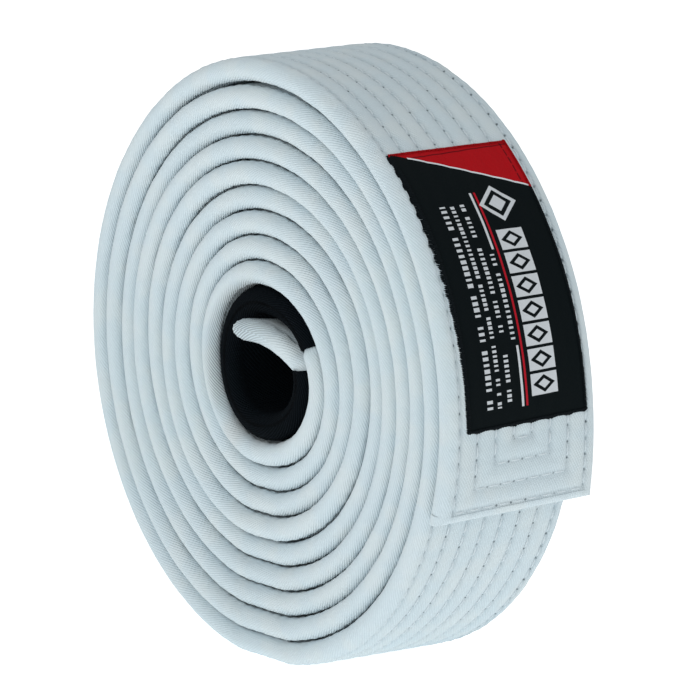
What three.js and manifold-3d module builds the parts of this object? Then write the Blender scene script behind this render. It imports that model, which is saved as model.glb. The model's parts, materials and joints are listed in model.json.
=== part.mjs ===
// A white cotton martial arts belt, rolled into a coil that stands on its rim.
// Millimetres. The coil's axis is Y, +Z is up, and the origin is under the middle of the coil.
// Directions round the coil are degrees from +X towards +Z. The strap is described from its free
// outer end inwards: its winding angle grows from 0 at that end.
import * as THREE from 'three';
import Module from 'manifold-3d';

// ---- Driving dimensions ----
const BELT_WIDTH = 40;
const COVER_WALL = 1;
const CORE_PLY = 1.1;
const CORE_PLIES = 2;
const EDGE_FOLD = 1.6;            // doubled cloth along both edges and at both ends
const CLEARANCE = 0.3;            // between touching pieces
const WRAP_GAP = 0.6;             // air between neighbouring turns

const OUTER_RADIUS = 72.4;        // outer face of the strap at its free end
const FREE_END_ANGLE = -17;       // direction of the free end
const SIDE_BULGE = 2;             // the roll is that much fuller towards +X
const SIDE_BULGE_PER_TURN = 0.15;
const STEPS_PER_TURN = 24;

const LIFT_ANGLE = 72;            // direction of the line where the outer end lifts off
const LABEL_TOP_ANGLE = 51;
const LABEL_LENGTH = 63.5;
const LABEL_EDGE = 4.25;          // bare cloth either side of the label
const LABEL_THICKNESS = 0.4;
const LABEL_SEAM = 0.8;           // width of the thread round the label

const ROWS = 8;                   // quilting rows across the belt
const ROW_EDGE = 3.2;             // from each edge of the belt to its first row
const THREAD_WIDTH = 0.5;
const THREAD_THICKNESS = 0.3;
const THREAD_DEPTH = 0.1;         // the thread lies that far below the cloth, in a groove
const THREAD_SETBACK = 3;         // the roll's rows stop short of the free end that covers them

const EYE_RADIUS = 8.28;          // clear space inside the end of the rank bar, before the bulge
const SLEEVE_TURNS = 0.96;
const SLEEVE_WALL = 0.5;
const SLEEVE_SEAM_INSET = 2.5;    // from each end of the sleeve to its row of thread

const TIP_LENGTH = 20.5;          // bare strap beyond the rank bar
const TIP_GAP = 0.75;             // slack in the cloth where the tip bends
const TIP_FIRST_TURN = 28;        // degrees that the tip turns away from the roll, at its start
const TIP_END_GAP = 1;            // from the end of the tip to the rank bar's inner face
const TIP_STRAIGHTENS_OVER = 7;
const TIP_STEPS = 7;
const TIP_ROUNDING = 1.2;

// ---- Sizes that follow ----
const CORE_SPACE = CORE_PLIES * CORE_PLY + (CORE_PLIES + 1) * CLEARANCE;
const BELT_THICKNESS = 2 * COVER_WALL + CORE_SPACE;
const PITCH = BELT_THICKNESS + WRAP_GAP;
const CORE_WIDTH = BELT_WIDTH - 2 * EDGE_FOLD - 2 * CLEARANCE;
const ROW_SPACING = (BELT_WIDTH - 2 * ROW_EDGE) / (ROWS - 1);
const SLEEVE_STEP = SLEEVE_WALL + CLEARANCE;
const GROOVE_DEPTH = THREAD_DEPTH + THREAD_THICKNESS + CLEARANCE;
const LABEL_RISE = CLEARANCE + LABEL_THICKNESS;
const LABEL_WIDTH = BELT_WIDTH - 2 * LABEL_EDGE;
const DEGREE = Math.PI / 180;
const STEP = 360 / STEPS_PER_TURN;

const LIFT_WINDING = LIFT_ANGLE - FREE_END_ANGLE;
const LAST_TURN_RADIUS = EYE_RADIUS + BELT_THICKNESS + 2 * SLEEVE_STEP;
const SLEEVE_END = (360 * (OUTER_RADIUS - LAST_TURN_RADIUS)) / PITCH;
const SLEEVE_START = SLEEVE_END - 360 * SLEEVE_TURNS;

// ---- Materials ----
const cotton = new THREE.MeshStandardMaterial({ color: 0xd3dde2, roughness: 0.9, metalness: 0 });
const core = new THREE.MeshStandardMaterial({ color: 0xc9c3b4, roughness: 0.95, metalness: 0 });
const thread = new THREE.MeshStandardMaterial({ color: 0xe4ebee, roughness: 0.7, metalness: 0 });
const blackCotton = new THREE.MeshStandardMaterial({ color: 0x101214, roughness: 0.9, metalness: 0 });
const wovenLabel = new THREE.MeshStandardMaterial({ color: 0x14171b, roughness: 0.75, metalness: 0 });

// ---- The strap's path ----
// A station is a place along the strap: a point on its outer face and the unit direction from
// there to its inner face.
const towards = (degrees) => new THREE.Vector2(Math.cos(degrees * DEGREE), Math.sin(degrees * DEGREE));

function outerRadius(winding) {
  const turns = winding / 360;
  const sideways = Math.max(0, towards(FREE_END_ANGLE + winding).x);
  const bulge = (SIDE_BULGE + SIDE_BULGE_PER_TURN * turns) * sideways ** 2;
  const sleeve = THREE.MathUtils.smoothstep(winding, SLEEVE_START - 2 * STEP, SLEEVE_START);
  return OUTER_RADIUS - PITCH * turns + bulge - SLEEVE_STEP * sleeve;
}

// Every turn has its corners on the same rays, so that neighbouring turns stay clear of each other.
// The rays lie half a step either side of straight down, so that the roll rests on a level facet.
function nextRay(winding) {
  const phase = 0.5 - FREE_END_ANGLE / STEP;
  return (Math.ceil(winding / STEP - phase) + phase) * STEP;
}

// A place between two rays lies on the straight line between their corners, at every depth.
function rollStation(winding) {
  const after = nextRay(winding);
  const share = (after - winding) / STEP;
  const [far, near] = [after, after - STEP].map((ray) => {
    const direction = towards(FREE_END_ANGLE + ray);
    return { face: direction.clone().multiplyScalar(outerRadius(ray)), inwards: direction.negate() };
  });
  return { face: far.face.lerp(near.face, share), inwards: far.inwards.lerp(near.inwards, share) };
}

function rollStations(from, to) {
  const least = 0.05 * STEP;
  const stations = [rollStation(from)];
  for (let winding = nextRay(from + least); winding < to - least; winding += STEP) {
    stations.push(rollStation(winding));
  }
  stations.push(rollStation(to));
  return stations;
}

const windingOf = (millimetres, winding) => millimetres / (outerRadius(winding) * DEGREE);
const at = ({ face, inwards }, depth) => face.clone().addScaledVector(inwards, depth);

// The bare tip leaves the end of the rank bar square to it, turns into the eye and straightens out.
function tipStations(start, end, lastTurn = tipLastTurn) {
  const root = rollStation(SLEEVE_END);
  const middle = at(root, BELT_THICKNESS / 2);
  const onwards = root.inwards.angle() / DEGREE - 90;
  const stations = [];
  let travelled = 0;
  for (let i = 0; i <= TIP_STEPS; i += 1) {
    const distance = start + ((end - start) * i) / TIP_STEPS;
    const bend = Math.exp(-(distance + travelled) / 2 / TIP_STRAIGHTENS_OVER);
    const heading = onwards + lastTurn + (TIP_FIRST_TURN - lastTurn) * bend;
    middle.addScaledVector(towards(heading), distance - travelled);
    const inwards = i === 0 ? root.inwards.clone().normalize() : towards(heading + 90);
    stations.push({ face: middle.clone().addScaledVector(inwards, -BELT_THICKNESS / 2), inwards });
    travelled = distance;
  }
  return stations;
}

// How far the end of the tip lies from the inner face of the rank bar beyond it.
function tipEndGap(lastTurn) {
  const end = at(tipStations(TIP_GAP, TIP_LENGTH, lastTurn)[TIP_STEPS], BELT_THICKNESS / 2);
  const back = THREE.MathUtils.euclideanModulo(FREE_END_ANGLE + SLEEVE_END - end.angle() / DEGREE, 360);
  const wall = outerRadius(SLEEVE_END - back) - BELT_THICKNESS - SLEEVE_STEP;
  return wall - end.length() - BELT_THICKNESS / 2;
}

// The tip turns just as far as keeps its end clear of the bar.
let tipLastTurn = 180;
let leastTurn = TIP_FIRST_TURN;
while (tipLastTurn - leastTurn > 0.01) {
  const turn = (leastTurn + tipLastTurn) / 2;
  if (tipEndGap(turn) < TIP_END_GAP) leastTurn = turn;
  else tipLastTurn = turn;
}

// ---- Solids ----
const wasm = await Module();
wasm.setup();

const toManifold = (geometry) => new wasm.Manifold(new wasm.Mesh({
  numProp: 3,
  vertProperties: geometry.attributes.position.array,
  triVerts: new Uint32Array(geometry.index.array),
}));

function toGeometry(solid) {
  const mesh = solid.getMesh();
  const geometry = new THREE.BufferGeometry();
  geometry.setAttribute('position', new THREE.BufferAttribute(new Float32Array(mesh.vertProperties), 3));
  geometry.setIndex(new THREE.BufferAttribute(new Uint32Array(mesh.triVerts), 1));
  geometry.computeVertexNormals();
  return geometry;
}

// A band of the strap between two depths, `width` wide about y = `middle`. Each station gives four
// corners: outer and inner at the near edge, then outer and inner at the far edge.
function band(stations, from, to, width, middle = 0) {
  const positions = [];
  const triangles = [];
  const quad = (a, b, c, d) => triangles.push(a, b, c, a, c, d);
  stations.forEach((station, i) => {
    for (const y of [middle - width / 2, middle + width / 2]) {
      for (const corner of [at(station, from), at(station, to)]) positions.push(corner.x, y, corner.y);
    }
    if (i === 0) return;
    const [outerNear, innerNear, outerFar, innerFar] = [0, 1, 2, 3].map((corner) => 4 * i + corner);
    quad(outerNear - 4, outerFar - 4, outerFar, outerNear);
    quad(innerNear - 4, innerNear, innerFar, innerFar - 4);
    quad(outerNear - 4, outerNear, innerNear, innerNear - 4);
    quad(outerFar - 4, innerFar - 4, innerFar, outerFar);
  });
  const last = 4 * (stations.length - 1);
  quad(0, 1, 3, 2);
  quad(last, last + 2, last + 3, last + 1);
  const geometry = new THREE.BufferGeometry();
  geometry.setAttribute('position', new THREE.Float32BufferAttribute(positions, 3));
  geometry.setIndex(triangles);
  return toManifold(geometry);
}

const join = (solids) => solids.reduce((whole, solid) => whole.add(solid));
const cover = (stations) => band(stations, 0, BELT_THICKNESS, BELT_WIDTH);
const coreSpace = (stations) => (
  band(stations, COVER_WALL, BELT_THICKNESS - COVER_WALL, BELT_WIDTH - 2 * EDGE_FOLD)
);

function corePly(stations, ply) {
  const top = COVER_WALL + CLEARANCE + ply * (CORE_PLY + CLEARANCE);
  return band(stations, top, top + CORE_PLY, CORE_WIDTH);
}

// A run of thread, and the groove that it lies in, which is wider and longer by the clearance.
const rowPlace = (row) => (row - (ROWS - 1) / 2) * ROW_SPACING;
const threadBand = (from, to, width, middle = 0) => (
  band(rollStations(from, to), THREAD_DEPTH, THREAD_DEPTH + THREAD_THICKNESS, width, middle)
);
const grooveBand = (from, to, width, middle = 0) => (
  band(rollStations(from - windingOf(CLEARANCE, from), to + windingOf(CLEARANCE, to)),
    -CLEARANCE, GROOVE_DEPTH, width + 2 * CLEARANCE, middle)
);

// ---- Assembly ----
const belt = new THREE.Group();
function addPiece(name, solid, material) {
  const mesh = new THREE.Mesh(toGeometry(solid), material);
  mesh.name = name;
  belt.add(mesh);
}

function addCorePlies(place, stations) {
  for (let ply = 0; ply < CORE_PLIES; ply += 1) {
    addPiece(`core_ply_${ply + 1}_${place}`, corePly(stations, ply), core);
  }
}

// The roll, from the lift line to the end of the rank bar. Its cover is one strip, made as a solid for
// each turn, and its core space is open at both ends of every turn.
function addRoll() {
  const lift = LIFT_WINDING + windingOf(CLEARANCE / 2, LIFT_WINDING);
  const past = windingOf(EDGE_FOLD, SLEEVE_END);
  const underSleeve = rollStations(SLEEVE_START - past / 2, SLEEVE_END + past);
  const trims = [-1, 1].map((side) => (
    band(underSleeve, -WRAP_GAP / 4, BELT_THICKNESS + WRAP_GAP / 4,
      2 * SLEEVE_STEP, (side * BELT_WIDTH) / 2)
  ));
  const rowEnd = 360 - windingOf(THREAD_SETBACK, 360);
  const grooves = [];
  for (let row = 0; row < ROWS; row += 1) {
    addPiece(`quilting_row_${row + 1}`, threadBand(lift, rowEnd, THREAD_WIDTH, rowPlace(row)), thread);
    grooves.push(grooveBand(lift, rowEnd, THREAD_WIDTH, rowPlace(row)));
  }
  const cuts = join([coreSpace(rollStations(lift - past, SLEEVE_END + past)), ...trims, ...grooves]);
  const turns = Math.ceil((SLEEVE_END - LIFT_WINDING) / 360);
  for (let turn = 0; turn < turns; turn += 1) {
    const from = LIFT_WINDING + 360 * turn;
    const to = Math.min(from + 360, SLEEVE_END);
    const stations = rollStations(
      from + windingOf(CLEARANCE / 2, from),
      to < SLEEVE_END ? to - windingOf(CLEARANCE / 2, to) : to,
    );
    addPiece(`cover_turn_${turn + 1}`, cover(stations).subtract(cuts), cotton);
  }
  addCorePlies('rolled', rollStations(lift, SLEEVE_END));
}

function addRankBar() {
  const past = windingOf(EDGE_FOLD, SLEEVE_END);
  const outside = band(rollStations(SLEEVE_START, SLEEVE_END),
    -SLEEVE_STEP, BELT_THICKNESS + SLEEVE_STEP, BELT_WIDTH);
  const inside = band(rollStations(SLEEVE_START - past, SLEEVE_END + past),
    -CLEARANCE, BELT_THICKNESS + CLEARANCE, BELT_WIDTH - 2 * SLEEVE_WALL);
  addPiece('rank_bar_sleeve', outside.subtract(inside), blackCotton);

  const under = BELT_THICKNESS + SLEEVE_STEP + CLEARANCE;
  const innerRadius = outerRadius(SLEEVE_END) - under;
  const inset = SLEEVE_SEAM_INSET / (innerRadius * DEGREE);
  const width = THREAD_WIDTH / (innerRadius * DEGREE);
  [SLEEVE_START + inset, SLEEVE_END - inset - width].forEach((place, i) => {
    const stations = [rollStation(place), rollStation(place + width)];
    const seam = band(stations, under, under + THREAD_THICKNESS, CORE_WIDTH);
    addPiece(`rank_bar_seam_${i + 1}`, seam, blackCotton);
  });
}

// The free end: the stretch that lifts off, with its four nested loops of thread and its label.
function addOuterEnd() {
  const lift = LIFT_WINDING - windingOf(CLEARANCE / 2, LIFT_WINDING);
  const fold = windingOf(EDGE_FOLD, 0);
  const edge = BELT_WIDTH / 2 - rowPlace(ROWS - 1);
  const grooves = [];
  for (let loop = 0; loop < ROWS / 2; loop += 1) {
    const start = windingOf(edge + loop * ROW_SPACING - THREAD_WIDTH / 2, 0);
    const barEnd = start + windingOf(THREAD_WIDTH, 0);
    const across = rowPlace(ROWS - 1 - loop) - rowPlace(loop) + THREAD_WIDTH;
    const loopOf = (strip) => join([
      strip(start, lift, THREAD_WIDTH, rowPlace(loop)),
      strip(start, lift, THREAD_WIDTH, -rowPlace(loop)),
      strip(start, barEnd, across),
    ]);
    addPiece(`end_loop_${loop + 1}`, loopOf(threadBand), thread);
    grooves.push(loopOf(grooveBand));
  }
  const solid = cover(rollStations(0, lift))
    .subtract(coreSpace(rollStations(fold, lift + fold)))
    .subtract(join(grooves));
  addPiece('cover_outer_end', solid, cotton);
  addCorePlies('outer_end', rollStations(fold + windingOf(CLEARANCE, 0), lift));

  const top = LABEL_TOP_ANGLE - FREE_END_ANGLE;
  const bottom = top - windingOf(LABEL_LENGTH, top);
  const labelBand = (grow, slack) => band(
    rollStations(bottom - windingOf(grow, bottom), top + windingOf(grow, top)),
    -LABEL_RISE - slack, -CLEARANCE + slack, LABEL_WIDTH + 2 * grow,
  );
  addPiece('label_patch', labelBand(0, 0), wovenLabel);
  const seam = labelBand(CLEARANCE + LABEL_SEAM, 0).subtract(labelBand(CLEARANCE, CLEARANCE / 2));
  addPiece('label_seam', seam, blackCotton);
}

function addInnerTip() {
  const solidEnd = tipStations(TIP_GAP, TIP_LENGTH);
  const end = solidEnd[TIP_STEPS];
  const rounded = {
    face: at(end, TIP_ROUNDING).add(end.inwards.clone().rotateAround(new THREE.Vector2(), -Math.PI / 2)
      .multiplyScalar(TIP_ROUNDING)),
    inwards: end.inwards.clone().multiplyScalar(1 - (2 * TIP_ROUNDING) / BELT_THICKNESS),
  };
  const space = coreSpace(tipStations(0, TIP_LENGTH - EDGE_FOLD + TIP_ROUNDING));
  addPiece('cover_inner_tip', cover([...solidEnd, rounded]).subtract(space), cotton);
  addCorePlies('inner_tip', tipStations(TIP_GAP, TIP_LENGTH - EDGE_FOLD + TIP_ROUNDING - CLEARANCE));
}

addRoll();
addRankBar();
addOuterEnd();
addInnerTip();

// ---- Joint axes, both along Y ----
// The outer end lifts about the strap's outer face, and the tip bends about its inner face.
const axes = {
  outer_end_lift: rollStation(LIFT_WINDING).face,
  inner_tip_flex: at(rollStation(SLEEVE_END), BELT_THICKNESS),
};

// ---- The roll settles level on its lowest facet, with the origin under the middle of its box ----
const rest = [-STEP / 2, STEP / 2].map((offset) => rollStation(270 + offset - FREE_END_ANGLE).face);
const tilt = Math.atan2(rest[1].y - rest[0].y, rest[1].x - rest[0].x);
belt.rotation.y = tilt;
belt.updateMatrixWorld(true);
const box = new THREE.Box3().setFromObject(belt, true);
const centre = box.getCenter(new THREE.Vector3());
belt.position.set(-centre.x, -centre.y, -box.min.z);
belt.updateMatrixWorld(true);
belt.userData.jointAxes = Object.fromEntries(Object.entries(axes).map(([name, point]) => (
  [name, new THREE.Vector3(point.x, 0, point.y).applyMatrix4(belt.matrixWorld).toArray()]
)));

export default belt;
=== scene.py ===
"""A white cotton martial arts belt, rolled into a coil that stands on its rim.

Lengths are worked out in millimetres and handed to Blender in metres. The coil's axis is Y and +Z is up.
A place along the strap is its winding, in degrees from the free outer end inwards, or its distance from
that end along the middle of the strap.
"""

import json
import math

import bpy
import numpy as np
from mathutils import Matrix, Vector


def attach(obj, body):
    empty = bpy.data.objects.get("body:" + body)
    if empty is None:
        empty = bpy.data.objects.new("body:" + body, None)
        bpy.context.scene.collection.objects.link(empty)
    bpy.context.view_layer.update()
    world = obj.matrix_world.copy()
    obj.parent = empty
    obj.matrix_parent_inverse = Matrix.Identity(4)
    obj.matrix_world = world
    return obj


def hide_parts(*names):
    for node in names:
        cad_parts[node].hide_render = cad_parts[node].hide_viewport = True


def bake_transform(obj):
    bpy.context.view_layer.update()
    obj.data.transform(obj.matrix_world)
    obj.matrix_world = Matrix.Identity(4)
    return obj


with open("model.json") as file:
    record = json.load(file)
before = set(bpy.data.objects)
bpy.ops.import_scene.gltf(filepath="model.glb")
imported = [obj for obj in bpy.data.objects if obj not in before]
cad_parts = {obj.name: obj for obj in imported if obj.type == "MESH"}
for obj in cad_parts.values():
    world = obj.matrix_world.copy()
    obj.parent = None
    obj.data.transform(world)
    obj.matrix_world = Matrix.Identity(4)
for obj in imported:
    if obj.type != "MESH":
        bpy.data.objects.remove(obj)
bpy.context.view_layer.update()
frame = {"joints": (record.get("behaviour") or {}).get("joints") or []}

# ---- Sizes of the belt, as the solids have them ----
BELT_WIDTH = 40.0
BELT_THICKNESS = 5.1
PITCH = 5.7
CORE_PLY = 1.1
CORE_WIDTH = 36.2
CORE_DEPTHS = (1.3, 2.7)
OUTER_RADIUS = 72.4
FREE_END_ANGLE = -17.0
SIDE_BULGE = 2.0
SIDE_BULGE_PER_TURN = 0.15
STEP = 15.0
LIFT_WINDING = 89.0
EYE_RADIUS = 8.28
SLEEVE_STEP = 0.8
SLEEVE_WALL = 0.5
SLEEVE_END = 360 * (OUTER_RADIUS - EYE_RADIUS - BELT_THICKNESS - 2 * SLEEVE_STEP) / PITCH
SLEEVE_START = SLEEVE_END - 345.6
LABEL_TOP = 68.0
LABEL_LENGTH = 63.5
LABEL_WIDTH = 31.5
TIP_LENGTH = 20.5
TIP_FIRST_TURN = 26.0
TIP_LAST_TURN = 84.0
TIP_STRAIGHTENS_OVER = 8.0
TIP_LEANS_OUT = 3.6        # its end stands that far out of the roll's near side
TIP_TWIST = 2.7            # and its near edge there is that much higher than its middle

# ---- Sizes of the cloth and its sewing ----
ROW_EDGE = 3.2
ROW_SPACING = 4.8
ROWS = 8
STITCH = 3.6
VALLEY = 2.12
PUFF = 2.78
EDGE_PUFF = 2.64
EDGE_ROUND = 2.7
PUFF_POWER = 0.7           # below 1, so that the puffs are fuller than a sine wave
STITCH_LENGTH = 3.0
THREAD_RADIUS = 0.2
THREAD_LIFT = 0.1          # a stitch's middle lies that far over the cloth
STITCH_MARGIN = 0.3        # no stitch comes nearer to the end of its run than that
SLIM_HALF = 19.2           # half the strap's width inside the rank bar
BAR_PINCH = 0.045          # share of its width that the strap loses at each end of the bar
BAR_SEAM = 2.7             # distance of the bar's seams from its ends
LABEL_RISE = 3.12
LABEL_CORNER = 12.5        # length of the label's red corner along the strap
FLAP_MEETS = 98.5          # winding where the free end's cover meets the cover of the outer turn
UNDER_FLAP = 458.5         # winding where the outer turn's cover meets the inner turns
BEND_BEFORE = 4.0          # the cloth bends from that far inside the lift line
BEND_BEYOND = 17.0         # to that far beyond it, towards the free end
TIP_BEND = 9.0             # and over that length of the tip
CURL_LENGTH = 36.0         # the free end stands off the roll over that length
END_GAP = 0.95             # by that much in its middle
CORNER_GAP = 0.85          # and by that much more at its far corner
ASKEW_LENGTH = 62.0        # it lies askew over that length
ASKEW_SLIDE = 1.5          # so that its far edge is that much behind its middle
# ---- How the soft roll lies on the floor ----
FINE = 0.25                # from station to station, in degrees on the roll and millimetres in the tip
FLOOR_GAP = 0.2
STACK_SPACING = BELT_THICKNESS + 0.52
SETTLE_SOFTNESS = 0.12
LEAST_DOWN = 0.2           # only places that face down more than that are pressed by the floor
UNPRESSED = 1000.0
NO_END = 99.0              # distance to the end of a strap that goes on

# ---- Camera: long lens, a little above the roll and round to its label side ----
AZIMUTH = math.radians(55.0)
ELEVATION = math.radians(11.7)
DISTANCE = 1.631
LENS = 367.5


# ---- The strap's path ----
def outer_radius(winding):
    """Radius of the strap's outer face, as the solids' corners have it."""
    turns = winding / 360
    sideways = np.maximum(0, np.cos(np.radians(FREE_END_ANGLE + winding)))
    bulge = (SIDE_BULGE + SIDE_BULGE_PER_TURN * turns) * sideways**2
    rise = np.clip((winding - (SLEEVE_START - 2 * STEP)) / (2 * STEP), 0, 1)
    return OUTER_RADIUS - PITCH * turns + bulge - SLEEVE_STEP * rise * rise * (3 - 2 * rise)


def corner(ray):
    """Corner of the solids' outer face on the ray at that winding, before the roll is tilted."""
    direction = math.radians(FREE_END_ANGLE + ray)
    return float(outer_radius(ray)) * np.array([math.cos(direction), math.sin(direction)])


lowest = corner(270 + STEP / 2 - FREE_END_ANGLE) - corner(270 - STEP / 2 - FREE_END_ANGLE)
TILT = math.atan2(lowest[1], lowest[0])
lift_rays = (4.5 * STEP - FREE_END_ANGLE, 5.5 * STEP - FREE_END_ANGLE)
share = (LIFT_WINDING - lift_rays[0]) / STEP
lift_face = corner(lift_rays[0]) * (1 - share) + corner(lift_rays[1]) * share
turned = np.array([[math.cos(TILT), math.sin(TILT)], [-math.sin(TILT), math.cos(TILT)]])
joints = {joint["name"]: 1000 * np.array(joint["pos_m"]) for joint in frame["joints"]}
lift_axis = joints["outer_end_lift"][[0, 2]]
CENTRE = lift_axis - turned @ lift_face


def smooth_step(value, low, high):
    part = np.clip((value - low) / (high - low), 0, 1)
    return part * part * (3 - 2 * part)


def bump_at(place, middle, reach):
    """A smooth hump of height 1 about the middle, in degrees round the roll."""
    away = (place - middle + 180) % 360 - 180
    return np.exp(-((away / reach) ** 2))


def slack(winding):
    """How far each place lies out from the even spiral: a soft roll is never quite even."""
    angle = FREE_END_ANGLE + winding
    turn = winding / 360
    wander = 0.16 * np.sin(np.radians(2 * angle + 40 + 9 * turn))
    wander = wander + 0.10 * np.sin(np.radians(3 * angle - 70 + 14 * turn))
    outermost = 1 - smooth_step(turn, 1.15, 1.5)
    second = smooth_step(turn, 1.05, 1.3) - smooth_step(turn, 2.0, 2.4)
    loose = 0.55 * bump_at(angle, 92, 26) + 0.40 * bump_at(angle, 176, 42)
    return wander + outermost * loose - 0.25 * second * bump_at(angle, 92, 26)


def face_radius(winding):
    """Radius of the soft strap's outer face, which settles level on the floor by its own weight."""
    free = outer_radius(winding) + slack(winding)
    down = np.maximum(LEAST_DOWN, -np.sin(np.radians(FREE_END_ANGLE + winding) - TILT))
    from_lowest = winding - (270 - FREE_END_ANGLE)
    stacked = CENTRE[1] - FLOOR_GAP - STACK_SPACING * from_lowest / 360
    limit = np.where(down > LEAST_DOWN, stacked / down, UNPRESSED)
    return -SETTLE_SOFTNESS * np.logaddexp(-free / SETTLE_SOFTNESS, -limit / SETTLE_SOFTNESS)


def sideways_shift(winding):
    """How far each turn lies to one side of the roll's middle."""
    angle = FREE_END_ANGLE + winding
    turn = winding / 360
    shift = 0
    for reach, waves, start in ((0.34, 0.43, 0.6), (0.28, 1.27, 2.1), (0.26, 0.71, 4.0)):
        shift = shift + reach * np.sin(2 * np.pi * waves * turn + start)
    sunk = smooth_step(turn, 3.6, 4.3) - smooth_step(turn, 6.0, 6.8)
    steady = smooth_step(turn, 0.5, 1.6)
    return steady * (shift + sunk * bump_at(angle, 28, 50))


def roll_directions(winding):
    angle = np.radians(FREE_END_ANGLE + winding) - TILT
    return np.stack([np.cos(angle), np.sin(angle)], axis=-1)


def roll_middle(winding):
    return CENTRE + roll_directions(winding) * (face_radius(winding) - BELT_THICKNESS / 2)[..., None]


fine = np.arange(0, SLEEVE_END + FINE + 0.01, FINE)
middles = roll_middle(fine)
lengths = np.concatenate([[0], np.cumsum(np.linalg.norm(np.diff(middles, axis=0), axis=1))])
directions = roll_directions(fine)


def distance_of(winding):
    return float(np.interp(winding, fine, lengths))


class Path:
    """Stations along the strap: distance, middle point, outward direction and sideways shift."""

    def __init__(self, distance, middle, outward, shift):
        self.distance = distance
        self.middle = middle
        self.outward = outward
        self.shift = shift

    def at(self, distance):
        """The path at other distances."""
        pick = lambda values: np.interp(distance, self.distance, values)
        outward = np.stack([pick(self.outward[:, 0]), pick(self.outward[:, 1])], axis=-1)
        outward /= np.linalg.norm(outward, axis=1)[:, None]
        middle = np.stack([pick(self.middle[:, 0]), pick(self.middle[:, 1])], axis=-1)
        return Path(np.asarray(distance, float), middle, outward, pick(self.shift))

    def points(self, across, height):
        """Places at a distance across the strap and a height over its middle, in metres."""
        flat = self.middle[:, None, :] + self.outward[:, None, :] * height[..., None]
        side = np.broadcast_to(across + self.shift[:, None], height.shape)
        return np.stack([flat[..., 0], side, flat[..., 1]], axis=-1) / 1000


roll = Path(lengths, middles, directions, sideways_shift(fine))


def tip_path():
    """The bare tip turns away from the end of the rank bar into the eye, and straightens out."""
    root = distance_of(SLEEVE_END)
    before = roll.at(np.arange(root - 4, root, FINE))
    travel = np.arange(0, TIP_LENGTH + 0.01, FINE)
    heading = before.middle[-1] - before.middle[-2]
    onwards = math.atan2(heading[1], heading[0])
    turn = TIP_LAST_TURN + (TIP_FIRST_TURN - TIP_LAST_TURN) * np.exp(-travel / TIP_STRAIGHTENS_OVER)
    angle = onwards + np.radians(turn * smooth_step(travel, -1.5, 1.5))
    strides = FINE * np.stack([np.cos(angle), np.sin(angle)], axis=-1)
    middle = before.middle[-1] + np.cumsum(strides, axis=0)
    lean = np.concatenate([0 * before.distance, smooth_step(travel, 0, TIP_LENGTH)])
    outward = np.stack([np.sin(angle), -np.cos(angle)], axis=-1)
    return Path(
        np.concatenate([before.distance, root + travel]),
        np.concatenate([before.middle, middle]),
        np.concatenate([before.outward, outward]),
        before.shift[-1] - TIP_LEANS_OUT * lean,
    )


tip = tip_path()
END_OF_ROLL = distance_of(SLEEVE_END)
END_OF_TIP = float(tip.distance[-1])


# ---- The quilted section ----
def wander(along, seed):
    """Smooth unevenness between -1 and 1 along the strap."""
    total = np.zeros(np.broadcast(along, seed).shape)
    for length, weight in ((9.7, 0.35), (17.3, 0.35), (41.0, 0.30)):
        total = total + weight * np.sin(2 * np.pi * along / length + 5.3 * seed + 1.7 * length)
    return total


def quilt(inward, along, row, from_end):
    """Half the strap's thickness at a distance inward from its nearest edge."""
    edge = EDGE_PUFF * np.sqrt(np.clip(1 - np.clip(1 - inward / EDGE_ROUND, 0, 1) ** 2, 0, 1))
    climb = np.clip((ROW_EDGE - inward) / (ROW_EDGE - EDGE_ROUND), 0, 1)
    border = VALLEY + (EDGE_PUFF - VALLEY) * np.sin(np.pi / 2 * climb) ** PUFF_POWER
    between = np.mod(inward - ROW_EDGE, ROW_SPACING) / ROW_SPACING
    field = VALLEY + (PUFF - VALLEY) * np.sin(np.pi * between) ** PUFF_POWER
    height = np.where(inward < EDGE_ROUND, edge, np.where(inward < ROW_EDGE, border, field))
    to_row = np.minimum(np.abs(inward - ROW_EDGE), np.minimum(between, 1 - between) * ROW_SPACING)
    phase = 2 * np.pi * along / STITCH
    dimple = -0.10 * np.cos(phase) * np.exp(-((to_row / 0.9) ** 2))
    swell = 0.05 * wander(along, row) * np.sin(np.pi * np.clip(between, 0, 1))
    scallop = 0.04 * np.cos(phase + 1.1 * row) + 0.13 * wander(along, row + 0.5)
    rim = np.exp(-((inward - 1.6) / 1.3) ** 2)
    solid = np.clip(inward / 0.6, 0, 1) * np.clip(from_end / 0.6, 0, 1)
    return height + solid * (dimple + np.where(inward > ROW_EDGE, swell, 0) + rim * scallop)


def samples_across(per_row, round_steps, half_width):
    """Places across the strap, closer together round its edges."""
    rows = np.linspace(-(ROWS - 1) / 2, (ROWS - 1) / 2, (ROWS - 1) * per_row + 1) * ROW_SPACING
    flank = np.linspace(ROW_EDGE, EDGE_ROUND, 3)[1:]
    bend = EDGE_ROUND * (1 - np.sin(np.linspace(0, np.pi / 2, round_steps + 1)[1:]))
    side = half_width - np.concatenate([flank, bend])
    inner = rows[np.abs(rows) < side[0] - 0.05]
    return np.concatenate([-side[::-1], inner, side])


# ---- Meshes ----
def new_object(name, vertices, faces, uvs=None):
    mesh = bpy.data.meshes.new(name)
    mesh.from_pydata([tuple(v) for v in vertices], [], [tuple(f) for f in faces])
    if uvs is not None:
        layer = mesh.uv_layers.new(name="cloth")
        layer.data.foreach_set("uv", np.concatenate(uvs).astype(np.float32).ravel())
    mesh.validate()
    mesh.update()
    item = bpy.data.objects.new(name, mesh)
    bpy.context.scene.collection.objects.link(item)
    return item


def select_only(item):
    bpy.ops.object.select_all(action="DESELECT")
    item.select_set(True)
    bpy.context.view_layer.objects.active = item


def smooth(item, degrees):
    select_only(item)
    bpy.ops.object.shade_smooth_by_angle(angle=math.radians(degrees))
    item.select_set(False)


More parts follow.
